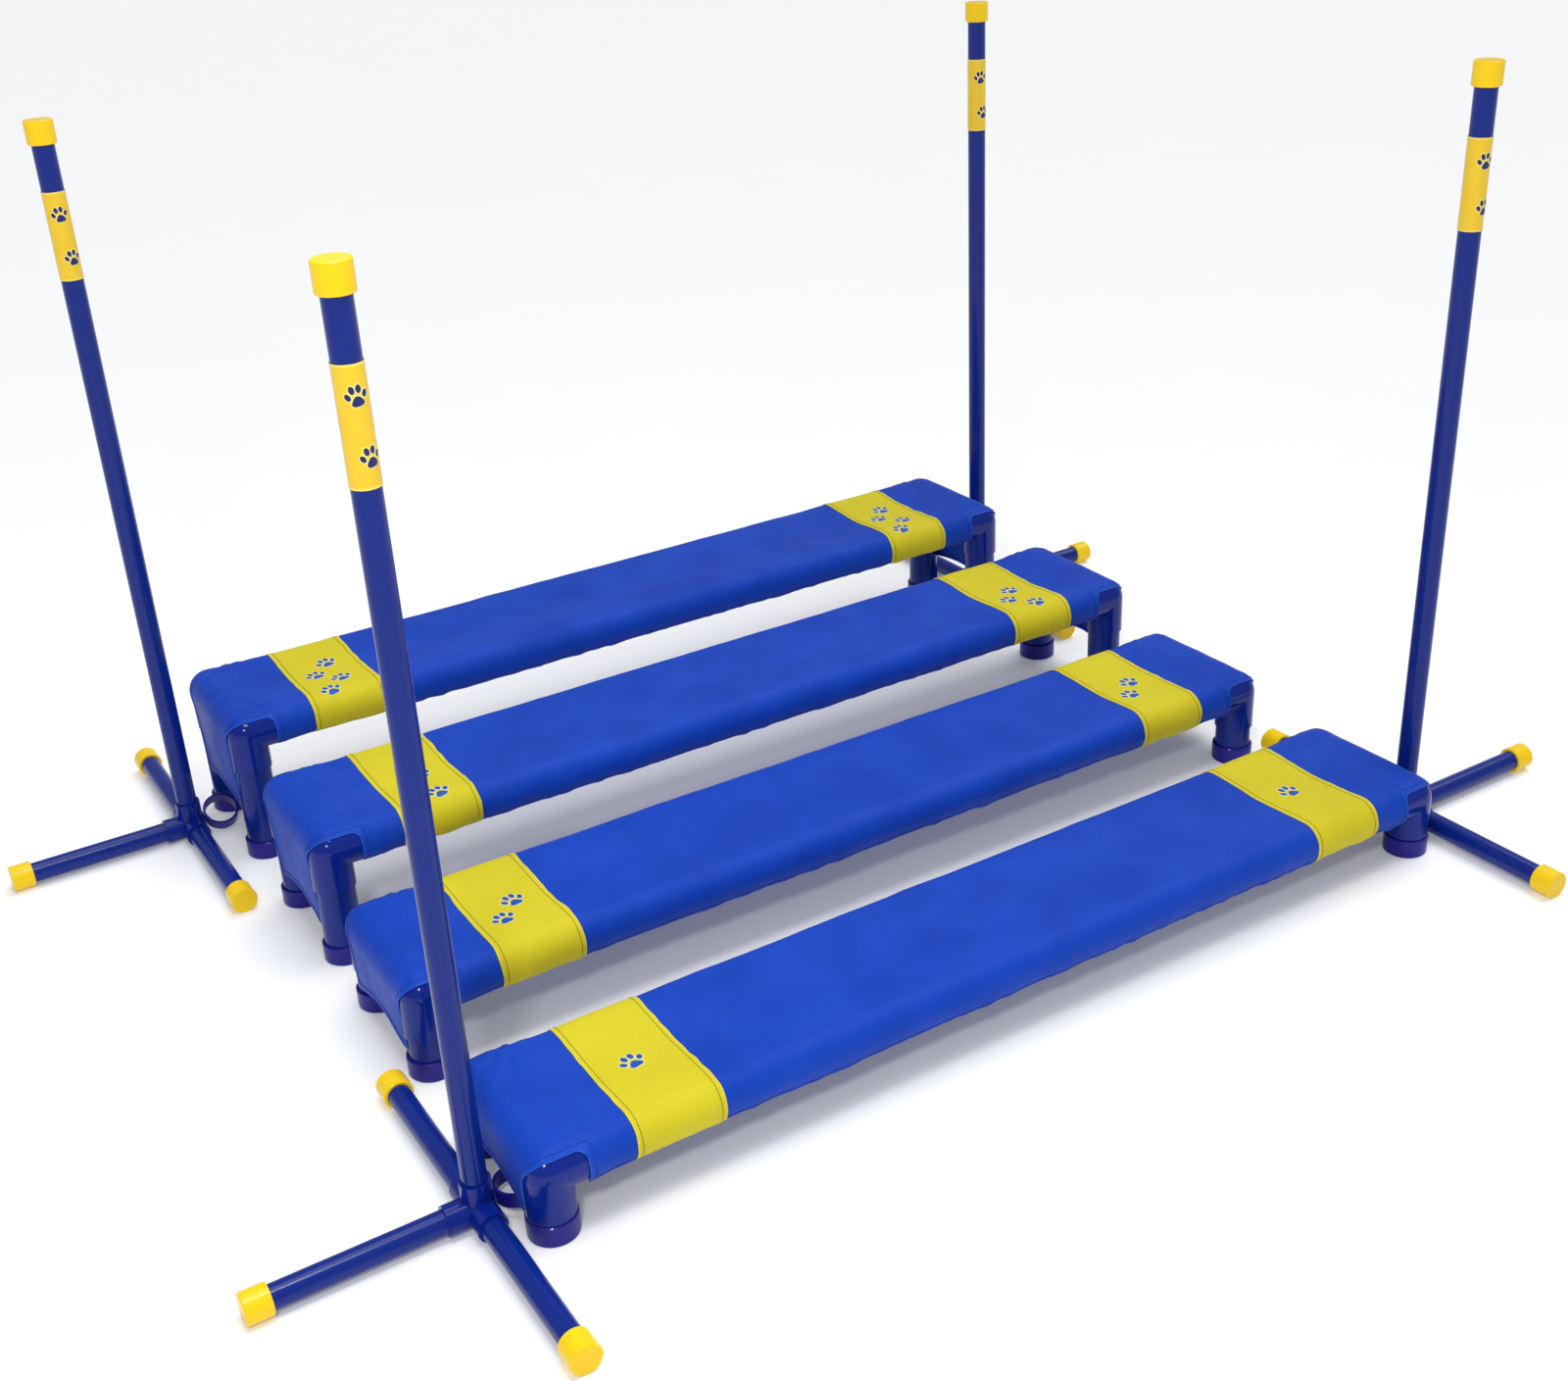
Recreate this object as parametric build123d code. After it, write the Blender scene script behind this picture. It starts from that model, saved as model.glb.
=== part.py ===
from build123d import *
import math
import os

os.makedirs("parts", exist_ok=True)

# Agility long jump: four low bench-like units of rising height, each a frame of large plastic pipe under a
# fabric cover, and a free-standing marker pole beside each end of the first and the last unit.
# Millimetres. +X runs along the units, +Y from the lowest unit to the highest, +Z up.
# The origin is on the floor at the centre of the outline.

# ---- unit frames ----
LEG_SPAN = 1540.0              # between the leg axes, along X
LEG_DEPTH = 200.0              # between the leg axes, along Y
LEG_SHOWING = (2.0, 36.0, 97.0, 133.0)        # leg pipe between foot cap and elbow, on each unit
UNIT_STEPS = (395.0, 350.0, 390.0)            # front leg axis of a unit to that of the next
FRAME_PIPE_OD = 60.3
FRAME_PIPE_WALL = 3.9
SOCKET_GAP = 0.15              # radial, between every pipe and its socket
ELBOW_WALL = 2.7               # round a socket
ELBOW_STOP_PAST = 3.7          # the shoulder that a pipe meets, past the side of the next socket
ELBOW_SOCKET_DEPTH = 31.0
ELBOW_SHOULDER = 4.15          # width of the shoulder
FOOT_WALL = 4.2
FOOT_HEIGHT = 31.0
FOOT_FLOOR = 5.0
FOOT_BEVEL = 1.5

# ---- covers ----
CLOTH = 2.0                    # cover thickness, with its hems
CLOTH_GAP = 0.4                # between the fittings and the cover
DROP_BELOW_AXIS = 28.0         # front and rear edges, below the rail axis
CUTOUT_INNER = 44.0            # corner opening, inward from the leg axis along X
CUTOUT_SIDE = 2.0              # corner opening, inward from the leg axis along Y
CUTOUT_TOP = 26.0              # corner opening, above the rail axis
CUTOUT_ROUND = 12.0
FLAP_CORNERS = (39.0, 45.0, 62.0, 88.0)       # lowest points of each unit's end flaps, above the floor
FLAP_TAB = 14.0                # flat tab beside each leg before the hem rises
FLAP_HEM_RISES = (24.0, 14.0, 20.0, 8.0)      # crown of each unit's end hems, above the flaps' lowest points
STRIPE_CENTRE = 176.0          # from the leg axis to the middle of a stripe
STRIPE_WIDTH = 130.0
STRIPE_CLOTH = 1.0
STRIPE_GAP = 0.15

# ---- tension straps under each cover ----
STRAP_FROM_LEG = 110.0
STRAP_WIDTH = 25.0
STRAP_THICK = 1.5
STRAP_GAP = 0.5                # between the rails and the strap
STRAP_TAB_BELOW_AXIS = 12.0    # top of the sewn tab, below the rail axis
BUCKLE_LENGTH = 46.0
BUCKLE_SIDE = 4.5              # each side of the strap
BUCKLE_THICK = 9.0
BUCKLE_FROM_REAR = 60.0

# ---- marker poles ----
POLE_HEIGHT = 1219.0
POLE_PIPE_OD = 33.4
POLE_PIPE_WALL = 3.4
HUB_CLEAR_OF_COVER = (13.85, 36.85)           # along X: front pair, rear pair
RING_CLEAR_OF_FOOT = (3.35, 65.35)            # along Y, behind the front foot of its unit
ARM_REACH = 305.0              # pole axis to the outer face of an arm's cap
HUB_WALL = 3.9
HUB_STOP_PAST = 3.15
HUB_SOCKET_DEPTH = 26.0
HUB_SHOULDER = 3.2
CAP_WALL = 4.65
CAP_LENGTH = 35.0
CAP_FLOOR = 4.0
CAP_BEVEL = 1.5
SLEEVE_BELOW_TOP = 103.0       # top of the sleeve, below the top of the pole
SLEEVE_HEIGHT = 132.0
SLEEVE_THICK = 1.0
SLEEVE_GAP = 0.2

# ---- swivel rings on the pole bases ----
RING_OD = 60.3
RING_WALL = 3.9
RING_HEIGHT = 21.0
RING_RISE = 8.5                # stud axis above the arms' axes
RING_GAP = 0.6                 # between the ring and its boss
RING_REST_TILTS = {"front_left": 0.0, "front_right": 0.0, "rear_left": 34.0, "rear_right": 0.0}   # degrees
BOSS_OD = 18.0
BOSS_PROUD = 1.5               # past the hub's side
STUD_OD = 8.0
STUD_RUNNING_GAP = 0.06        # radial
STUD_HEAD_OD = 12.0
STUD_HEAD_THICK = 2.5
STUD_HEAD_GAP = 0.4

OVERRUN = 5.0                  # cutting shapes run past what they cut

# ---- derived ----
FRAME_PIPE_R = FRAME_PIPE_OD / 2
FRAME_SOCKET_R = FRAME_PIPE_R + SOCKET_GAP
ELBOW_R = FRAME_SOCKET_R + ELBOW_WALL
ELBOW_STOP = FRAME_SOCKET_R + ELBOW_STOP_PAST
ELBOW_REACH = ELBOW_STOP + ELBOW_SOCKET_DEPTH
ELBOW_WATERWAY_R = FRAME_PIPE_R - ELBOW_SHOULDER
FOOT_R = FRAME_SOCKET_R + FOOT_WALL
AXIS_ZS = [FOOT_HEIGHT + showing + ELBOW_REACH for showing in LEG_SHOWING]
COVER_IN = ELBOW_R + CLOTH_GAP
COVER_OUT = COVER_IN + CLOTH
POLE_PIPE_R = POLE_PIPE_OD / 2
POLE_SOCKET_R = POLE_PIPE_R + SOCKET_GAP
HUB_R = POLE_SOCKET_R + HUB_WALL
HUB_STOP = POLE_SOCKET_R + HUB_STOP_PAST
HUB_REACH = HUB_STOP + HUB_SOCKET_DEPTH
HUB_WATERWAY_R = POLE_PIPE_R - HUB_SHOULDER
CAP_R = POLE_SOCKET_R + CAP_WALL
RING_AXIS_Z = CAP_R + RING_RISE
BOSS_FACE = HUB_R + BOSS_PROUD
# The stud's head lies in the round waterway, where its rim reaches the curved wall first.
HEAD_FACE = math.sqrt(HUB_WATERWAY_R ** 2 - (STUD_HEAD_OD / 2) ** 2) - STUD_HEAD_GAP
HALF_SPAN = LEG_SPAN / 2
FRONT_LEGS = [sum(UNIT_STEPS[:i]) for i in range(len(LEG_SHOWING))]
POLE_OUTS = [COVER_OUT + HUB_R + clear for clear in HUB_CLEAR_OF_COVER]
POLE_YS = [leg + FOOT_R + RING_OD / 2 + clear
           for leg, clear in zip((FRONT_LEGS[0], FRONT_LEGS[-1]), RING_CLEAR_OF_FOOT)]
Y_MIDDLE = sum(POLE_YS) / 2


def save(name, shapes):
    """Writes one node; several solids share it as a group."""
    solids = [s for shape in shapes for s in shape.solids()]
    export_step(solids[0] if len(solids) == 1 else Compound(children=solids), f"parts/{name}.step")


def rod(start, direction, length, radius):
    """A solid cylinder from a point along a direction."""
    plane = Plane(origin=start, z_dir=direction)
    return extrude(plane * Circle(radius), amount=length)


def tube(start, direction, length, outer_r, wall):
    """An open pipe from a point along a direction."""
    plane = Plane(origin=start, z_dir=direction)
    return extrude(plane * (Circle(outer_r) - Circle(outer_r - wall)), amount=length)


def pipe_fitting(directions, outer_r, reach, stop, socket_r, waterway_r):
    """A hollow fitting round the origin, with a domed middle and one socket along each direction."""
    outside = Sphere(outer_r)
    inside = Sphere(waterway_r)
    for direction in directions:
        shoulder = Vector(*direction) * stop
        outside += rod((0, 0, 0), direction, reach, outer_r)
        inside += rod((0, 0, 0), direction, reach + OVERRUN, waterway_r)
        inside += rod(shoulder, direction, reach - stop + OVERRUN, socket_r)
    return outside - inside


def end_cap(face, inward, pipe_r, outer_r, length, floor, bevel):
    """A cap whose closed face is at a point and whose mouth opens inward."""
    body = rod(face, inward, length, outer_r)
    body = chamfer(body.edges().filter_by(GeomType.CIRCLE), bevel)
    bore = rod(Vector(*face) + Vector(*inward) * floor, inward, length, pipe_r + SOCKET_GAP)
    return body - bore


# ---- one bench unit ----
def unit_corners(front_y):
    """Each leg axis with the ways along the rails from it."""
    rear_y = front_y + LEG_DEPTH
    return [(sx * HALF_SPAN, y, -sx, way) for sx in (-1, 1) for y, way in ((front_y, 1), (rear_y, -1))]


def corner_elbows(front_y, axis_z):
    elbows = []
    for x, y, in_x, in_y in unit_corners(front_y):
        ways = ((in_x, 0, 0), (0, in_y, 0), (0, 0, -1))
        elbow = pipe_fitting(ways, ELBOW_R, ELBOW_REACH, ELBOW_STOP, FRAME_SOCKET_R, ELBOW_WATERWAY_R)
        elbows.append(Pos(x, y, axis_z) * elbow)
    return elbows


def long_rails(front_y, axis_z):
    length = LEG_SPAN - 2 * ELBOW_STOP
    return [tube((-length / 2, y, axis_z), (1, 0, 0), length, FRAME_PIPE_R, FRAME_PIPE_WALL)
            for y in (front_y, front_y + LEG_DEPTH)]


def end_rails(front_y, axis_z):
    length = LEG_DEPTH - 2 * ELBOW_STOP
    return [tube((sx * HALF_SPAN, front_y + ELBOW_STOP, axis_z), (0, 1, 0), length, FRAME_PIPE_R,
                 FRAME_PIPE_WALL) for sx in (-1, 1)]


def legs(front_y, axis_z):
    length = axis_z - ELBOW_STOP - FOOT_FLOOR
    return [tube((x, y, FOOT_FLOOR), (0, 0, 1), length, FRAME_PIPE_R, FRAME_PIPE_WALL)
            for x, y, _, _ in unit_corners(front_y)]


def feet(front_y):
    return [end_cap((x, y, 0), (0, 0, 1), FRAME_PIPE_R, FOOT_R, FOOT_HEIGHT, FOOT_FLOOR, FOOT_BEVEL)
            for x, y, _, _ in unit_corners(front_y)]


def tray(front_y, axis_z, low_z, outer):
    """The block that a cover surface encloses: upright sides, and a top rounded like the pipe below it."""
    width = LEG_SPAN + 2 * outer
    depth = LEG_DEPTH + 2 * outer
    height = axis_z + outer - low_z
    block = Pos(0, front_y + LEG_DEPTH / 2, low_z + height / 2) * Box(width, depth, height)
    upright = block.edges().filter_by(Axis.Z)
    top = block.faces().sort_by(Axis.Z)[-1].edges()
    return fillet(upright + top, outer)


def corner_cutout(x, y, in_x, in_y, axis_z, low_z):
    """The opening that shows an elbow, with a rounded inner top corner."""
    out = COVER_OUT + OVERRUN
    width = CUTOUT_INNER + out
    depth = CUTOUT_SIDE + out
    height = axis_z + CUTOUT_TOP - low_z + OVERRUN
    centre = (x + in_x * (CUTOUT_INNER - out) / 2, y + in_y * (CUTOUT_SIDE - out) / 2,
              axis_z + CUTOUT_TOP - height / 2)
    block = Pos(*centre) * Box(width, depth, height)
    along_y = block.edges().filter_by(Axis.Y).sort_by(Axis.Z)[-2:]
    inner = along_y.sort_by(Axis.X)[-1 if in_x > 0 else 0]
    return fillet([inner], CUTOUT_ROUND)


def hem_arch(front_y, low_z, rise):
    """The space under the arched hems of both end flaps."""
    start = front_y + CUTOUT_SIDE + FLAP_TAB
    end = front_y + LEG_DEPTH - CUTOUT_SIDE - FLAP_TAB
    arch = ThreePointArc((0, start, low_z), (0, (start + end) / 2, low_z + rise), (0, end, low_z))
    outline = Wire([arch.edge(), Line((0, end, low_z), (0, start, low_z)).edge()])
    length = LEG_SPAN + 2 * (COVER_OUT + OVERRUN)
    return extrude(Pos(-length / 2, 0, 0) * make_face(outline), amount=length, dir=(1, 0, 0))


def cover(front_y, axis_z, low_z, hem_rise):
    shell = tray(front_y, axis_z, low_z, COVER_OUT) - tray(front_y, axis_z, low_z - OVERRUN, COVER_IN)
    drop_z = axis_z - DROP_BELOW_AXIS
    cut_height = drop_z - low_z + OVERRUN
    long_cut = Pos(0, front_y + LEG_DEPTH / 2, drop_z - cut_height / 2) * Box(
        LEG_SPAN - 2 * CUTOUT_INNER, LEG_DEPTH + 2 * (COVER_OUT + OVERRUN), cut_height)
    shell = shell - long_cut - hem_arch(front_y, low_z, hem_rise)
    for x, y, in_x, in_y in unit_corners(front_y):
        shell -= corner_cutout(x, y, in_x, in_y, axis_z, low_z)
    return shell


def over_rails(front_y, axis_z, radius, low_z):
    """The section of a band that runs up the front, over both rails and down the rear."""
    rear_y = front_y + LEG_DEPTH
    top = Line((0, front_y, axis_z + radius), (0, rear_y, axis_z + radius))
    rear = CenterArc((0, 0), radius, 0, 90)
    front = CenterArc((0, 0), radius, 90, 90)
    upright = Plane(origin=(0, 0, 0), x_dir=(0, 1, 0), z_dir=(1, 0, 0))
    edges = [top.edge(),
             (Pos(0, rear_y, axis_z) * (upright * rear)).edge(),
             (Pos(0, front_y, axis_z) * (upright * front)).edge(),
             Line((0, rear_y + radius, axis_z), (0, rear_y + radius, low_z)).edge(),
             Line((0, front_y - radius, axis_z), (0, front_y - radius, low_z)).edge(),
             Line((0, rear_y + radius, low_z), (0, front_y - radius, low_z)).edge()]
    return make_face(edges)


def stripes(front_y, axis_z):
    low_z = axis_z - DROP_BELOW_AXIS
    inner_r = COVER_OUT + STRIPE_GAP
    outside = over_rails(front_y, axis_z, inner_r + STRIPE_CLOTH, low_z)
    inside = over_rails(front_y, axis_z, inner_r, low_z - OVERRUN)
    section = outside - inside
    starts = [sx * (HALF_SPAN - STRIPE_CENTRE) - STRIPE_WIDTH / 2 for sx in (-1, 1)]
    return [extrude(Pos(x, 0, 0) * section, amount=STRIPE_WIDTH, dir=(1, 0, 0)) for x in starts]


def tension_strap(x, front_y, axis_z):
    """Webbing under both rails, with a tab sewn to each edge of the cover, and its buckle."""
    under_z = axis_z - FRAME_PIPE_R - STRAP_GAP
    tab_y = COVER_IN - STRAP_GAP / 2
    tab_top = axis_z - STRAP_TAB_BELOW_AXIS
    middle = front_y + LEG_DEPTH / 2
    length = LEG_DEPTH + 2 * tab_y
    webbing = Pos(x, middle, under_z - STRAP_THICK / 2) * Box(STRAP_WIDTH, length, STRAP_THICK)
    tab_height = tab_top - under_z + STRAP_THICK
    for side in (-1, 1):
        y = middle + side * (length - STRAP_THICK) / 2
        webbing += Pos(x, y, tab_top - tab_height / 2) * Box(STRAP_WIDTH, STRAP_THICK, tab_height)
    buckle_y = front_y + LEG_DEPTH - BUCKLE_FROM_REAR
    slot = Box(STRAP_WIDTH + STRAP_GAP, BUCKLE_LENGTH + OVERRUN, STRAP_THICK + STRAP_GAP)
    shell = Box(STRAP_WIDTH + 2 * BUCKLE_SIDE, BUCKLE_LENGTH, BUCKLE_THICK)
    shell = fillet(shell.edges().filter_by(Axis.Z), BUCKLE_THICK / 2)
    buckle = Pos(x, buckle_y, under_z - STRAP_THICK / 2) * (shell - slot)
    return [webbing, buckle]


def straps(front_y, axis_z):
    pairs = [tension_strap(sx * (HALF_SPAN - STRAP_FROM_LEG), front_y, axis_z) for sx in (-1, 1)]
    return pairs[0] + pairs[1]


def build_unit(number, front_y, axis_z, low_z, hem_rise):
    save(f"unit_{number}_corner_elbows", corner_elbows(front_y, axis_z))
    save(f"unit_{number}_long_rails", long_rails(front_y, axis_z))
    save(f"unit_{number}_end_rails", end_rails(front_y, axis_z))
    save(f"unit_{number}_legs", legs(front_y, axis_z))
    save(f"unit_{number}_feet", feet(front_y))
    save(f"unit_{number}_cover", [cover(front_y, axis_z, low_z, hem_rise)])
    save(f"unit_{number}_stripes", stripes(front_y, axis_z))
    save(f"unit_{number}_straps", straps(front_y, axis_z))


# ---- one marker pole ----
def base_hub(x, y, inward):
    """Three sockets for the arms, one for the upright, and a boss for the ring's stud."""
    ways = ((1, 0, 0), (0, 1, 0), (0, -1, 0), (0, 0, 1))
    hub = pipe_fitting(ways, HUB_R, HUB_REACH, HUB_STOP, POLE_SOCKET_R, HUB_WATERWAY_R)
    mid_wall = (HUB_WATERWAY_R + HUB_R) / 2
    hub += rod((-mid_wall, 0, RING_RISE), (-1, 0, 0), BOSS_FACE - mid_wall, BOSS_OD / 2)
    hub -= rod((0, 0, RING_RISE), (-1, 0, 0), BOSS_FACE + OVERRUN, STUD_OD / 2 + STUD_RUNNING_GAP)
    return Pos(x, y, CAP_R) * Rot(0, 0, 180 if inward > 0 else 0) * hub


def base_arms(x, y, inward):
    length = ARM_REACH - CAP_FLOOR - HUB_STOP
    arms = []
    for dx, dy in ((-inward, 0), (0, 1), (0, -1)):
        start = (x + dx * HUB_STOP, y + dy * HUB_STOP, CAP_R)
        arms.append(tube(start, (dx, dy, 0), length, POLE_PIPE_R, POLE_PIPE_WALL))
    return arms


def arm_caps(x, y, inward):
    return [end_cap((x + dx * ARM_REACH, y + dy * ARM_REACH, CAP_R), (-dx, -dy, 0), POLE_PIPE_R, CAP_R,
                    CAP_LENGTH, CAP_FLOOR, CAP_BEVEL) for dx, dy in ((-inward, 0), (0, 1), (0, -1))]


def swivel_ring(x, y, inward, tilt):
    """A short band of pipe on a headed stud that turns in the hub's boss."""
    ring_x = x + inward * (BOSS_FACE + RING_GAP + RING_OD / 2)
    band = tube((ring_x, y, RING_AXIS_Z - RING_HEIGHT / 2), (0, 0, 1), RING_HEIGHT, RING_OD / 2, RING_WALL)
    head_inner = HEAD_FACE - STUD_HEAD_THICK
    stud_end = BOSS_FACE + RING_GAP + RING_WALL / 2
    stud = rod((x + inward * head_inner, y, RING_AXIS_Z), (inward, 0, 0), stud_end - head_inner, STUD_OD / 2)
    head = rod((x + inward * head_inner, y, RING_AXIS_Z), (inward, 0, 0), STUD_HEAD_THICK, STUD_HEAD_OD / 2)
    ring = band + stud + head
    turn = Pos(0, y, RING_AXIS_Z) * Rot(tilt, 0, 0) * Pos(0, -y, -RING_AXIS_Z)
    return turn * ring


def upright(x, y):
    foot_z = CAP_R + HUB_STOP
    return tube((x, y, foot_z), (0, 0, 1), POLE_HEIGHT - CAP_FLOOR - foot_z, POLE_PIPE_R, POLE_PIPE_WALL)


def top_cap(x, y):
    return end_cap((x, y, POLE_HEIGHT), (0, 0, -1), POLE_PIPE_R, CAP_R, CAP_LENGTH, CAP_FLOOR, CAP_BEVEL)


def sleeve(x, y):
    outer_r = POLE_PIPE_R + SLEEVE_GAP + SLEEVE_THICK
    bottom = POLE_HEIGHT - SLEEVE_BELOW_TOP - SLEEVE_HEIGHT
    return tube((x, y, bottom), (0, 0, 1), SLEEVE_HEIGHT, outer_r, SLEEVE_THICK)


def build_pole(name, x, y, inward):
    save(f"{name}_base_hub", [base_hub(x, y, inward)])
    save(f"{name}_base_arms", base_arms(x, y, inward))
    save(f"{name}_arm_caps", arm_caps(x, y, inward))
    save(f"{name}_swivel_ring", [swivel_ring(x, y, inward, RING_REST_TILTS[name])])
    save(f"{name}_upright", [upright(x, y)])
    save(f"{name}_top_cap", [top_cap(x, y)])
    save(f"{name}_sleeve", [sleeve(x, y)])


for index, measures in enumerate(zip(FRONT_LEGS, AXIS_ZS, FLAP_CORNERS, FLAP_HEM_RISES)):
    front, axis, low, hem_rise = measures
    build_unit(index + 1, front - Y_MIDDLE, axis, low, hem_rise)
for row_name, out, pole_y in zip(("front", "rear"), POLE_OUTS, POLE_YS):
    for side_name, side in (("left", -1), ("right", 1)):
        build_pole(f"{row_name}_{side_name}", side * (HALF_SPAN + out), pole_y - Y_MIDDLE, -side)
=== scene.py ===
import math
import bpy
from mathutils import Matrix, Vector, noise


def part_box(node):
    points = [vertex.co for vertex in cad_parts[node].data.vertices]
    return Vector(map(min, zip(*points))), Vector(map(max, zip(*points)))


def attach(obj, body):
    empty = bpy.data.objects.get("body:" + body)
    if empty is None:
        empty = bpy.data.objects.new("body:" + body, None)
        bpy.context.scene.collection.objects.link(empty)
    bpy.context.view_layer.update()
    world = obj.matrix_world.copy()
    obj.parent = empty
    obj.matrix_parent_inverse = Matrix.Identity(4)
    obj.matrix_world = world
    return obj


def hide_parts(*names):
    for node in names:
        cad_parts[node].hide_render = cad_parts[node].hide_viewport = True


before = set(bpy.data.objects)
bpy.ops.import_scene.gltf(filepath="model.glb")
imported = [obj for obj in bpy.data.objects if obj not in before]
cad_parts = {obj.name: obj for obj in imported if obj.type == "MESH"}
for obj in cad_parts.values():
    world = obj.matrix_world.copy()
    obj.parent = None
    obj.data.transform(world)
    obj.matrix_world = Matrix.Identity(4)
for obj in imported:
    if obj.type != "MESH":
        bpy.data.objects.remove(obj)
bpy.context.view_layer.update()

# Looks for the agility long jump: sewn covers over the pipe frames of four benches, printed sleeves on four
# marker poles, and a material for every piece. Metres.
#
# A cover is drawn as a flat pattern and laid over its frame. On the pattern, x and y past the leg axes run
# over the rails and down. Round a corner the same edge strip is also measured as (along, run): along is
# negative on the long side, 0 at the leg axis, and past the quarter turn of the corner on the end; run is
# the way down.

UP = Vector((0, 0, 1))
UNITS = (1, 2, 3, 4)
POLES = ("front_left", "front_right", "rear_left", "rear_right")

# ---- cover ----
COVER_THICK = 0.0010
COVER_INSET = 0.0008           # outer face of the cloth, inside the CAD cover's
CLOTH_GAP = 0.0003             # least space left between the cloth and an elbow
ELBOW_SOCKET = 0.065           # leg axis to the end of an elbow's socket, under the cloth
RAIL_STEP = 0.0020             # the cloth lies lower where it leaves the elbows for the thinner rails
SAG = 0.0050                   # of the top between the rails
END_SUPPORT = 0.13             # the sag fades over this much beside an end rail
WRAP_UNDER = 0.0270            # along the cloth, from the level of the rail axis to the long edges
CUT_IN = 0.044                 # corner opening, inward from the leg axis along x
CUT_UP = 0.0260                # corner opening, above the rail axis
CUT_SIDE = 0.002               # corner opening, inward from the leg axis along y
CUT_ROUND = 0.014
SIDE_ROUND = 0.051             # the opening's sweep down into the flap's edge, measured along
SIDE_FALL = 0.054              # and measured down
FLAP_TAB = 0.014
FLAP_HEM_RISES = (0.024, 0.014, 0.020, 0.008)   # crown of each bench's end hems, above its flaps' low points
FLAP_LEAN = 0.05               # inward lean of an end flap below the rail
HEM_WIDTH = 0.0086
HEM_LIP = 0.0009
HEM_SEAM = 0.86                # stitch line of a hem, as a share of its width
FINE_STEP = 0.0045             # spacing of the cover's mesh beside stripes and openings
TOP_STEP = 0.0085              # and on the rest of the top
END_STEP = 0.0060              # and along the end flaps
SWEEP_STEPS = 16               # of the mesh along an opening's sweep
SWEEP_EDGE_STEPS = 24          # of the hem along it

# ---- folds of a cover: heights, and the lengths over which each kind repeats ----
BROAD_HEIGHT = 0.0016
BROAD_LENGTHS = (0.10, 0.06)
SMALL_HEIGHT = 0.0005
SMALL_LENGTHS = (0.035, 0.03)
DRAG_HEIGHT = 0.0020           # creases towards the long edges
DRAG_LENGTHS = (0.026, 0.075)
RIDGE_HEIGHT = 0.0026          # the sharper ones among them
RIDGE_LENGTHS = (0.045, 0.12)
DRAG_SLANT = 0.35
PULL_HEIGHT = 0.0011           # lines that fan out from a corner opening
PULL_LINES = 9
PULL_REACH = 0.06
CREASE_HEIGHT = 0.00028        # fold line left from storage
CREASE_WIDTH = 0.0022
CREASE_OFF_MIDDLE = 0.02
RIPPLE_HEIGHT = 0.0016         # low on the end flaps
RIPPLE_LENGTHS = (0.05, 0.09)

# ---- stripes ----
STRIPE_CENTRE = 0.176          # in from the leg axis
STRIPE_WIDTH = 0.130
STRIPE_THICK = 0.0007
STRIPE_LIFT = 0.0011
STRIPE_SEAM = 0.0076           # stitch line, in from the stripe's edge
PUCKER_PITCH = 0.023
PUCKER = 0.0010
PUCKER_FADES = (0.014, 0.005)  # away from the seam on the cover, and on the stripe
STRIPE_DRIFT = 0.0012          # slow wander of a stripe's edge
SCALLOP = 0.0015

# ---- thread ----
STITCH_LENGTH = 0.0040
STITCH_PITCH = 0.0047
THREAD_RADIUS = 0.00046

# ---- printed paws ----
PAW_SIZE = 0.036               # width on a stripe
SLEEVE_PAW_SIZE = 0.025
PAW_OUTLINE = 0.0013
PAW_FIRSTS = (0.090, 0.094, 0.082, 0.116)   # each bench's rearmost print, behind its front leg axis
PAW_STEP = 0.0393
PAW_SWAY = (0.010, -0.022)     # prints step from side to side of the stripe's middle
PAW_TURN = math.radians(12)
TOES = ((-0.37, 0.03, 0.115, 0.165, 26), (-0.145, 0.285, 0.120, 0.180, 7),
        (0.145, 0.285, 0.120, 0.180, -7), (0.37, 0.03, 0.115, 0.165, -26))   # x, y, radii, tilt; width is 1
PAD = (0.0, -0.235, 0.265, 0.215)
PAD_LOBES = 0.13
INK = 0.00016                  # thickness of a print
HALO = 0.00012                 # and of its outline

# ---- sleeves ----
SLEEVE_PRINTS = (0.033, 0.098)  # prints, below the sleeve's top
FILM = 0.0005
SLEEVE_LAP = math.radians(24)
SLEEVE_FACING = (0.12, -0.05)  # turn of the prints from straight ahead, on the left and right poles
SLEEVE_FLARE = 0.00025         # of the film's cut edges
FLARE_DEPTH = 0.0015
RIM = 0.0008                   # depth of the mesh's first row


def smooth(value):
    """0 below 0, 1 above 1, and a smooth step between."""
    t = min(max(value, 0.0), 1.0)
    return t * t * (3 - 2 * t)


def steps(start, end, spacing):
    """Evenly spaced values from start to end, both included."""
    count = max(1, math.ceil(abs(end - start) / spacing - 1e-6))
    return [start + (end - start) * i / count for i in range(count + 1)]


def joined(*runs):
    """Several lists of values that meet end to start, as one."""
    values = list(runs[0])
    for run in runs[1:]:
        values += run[1:]
    return values


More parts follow.
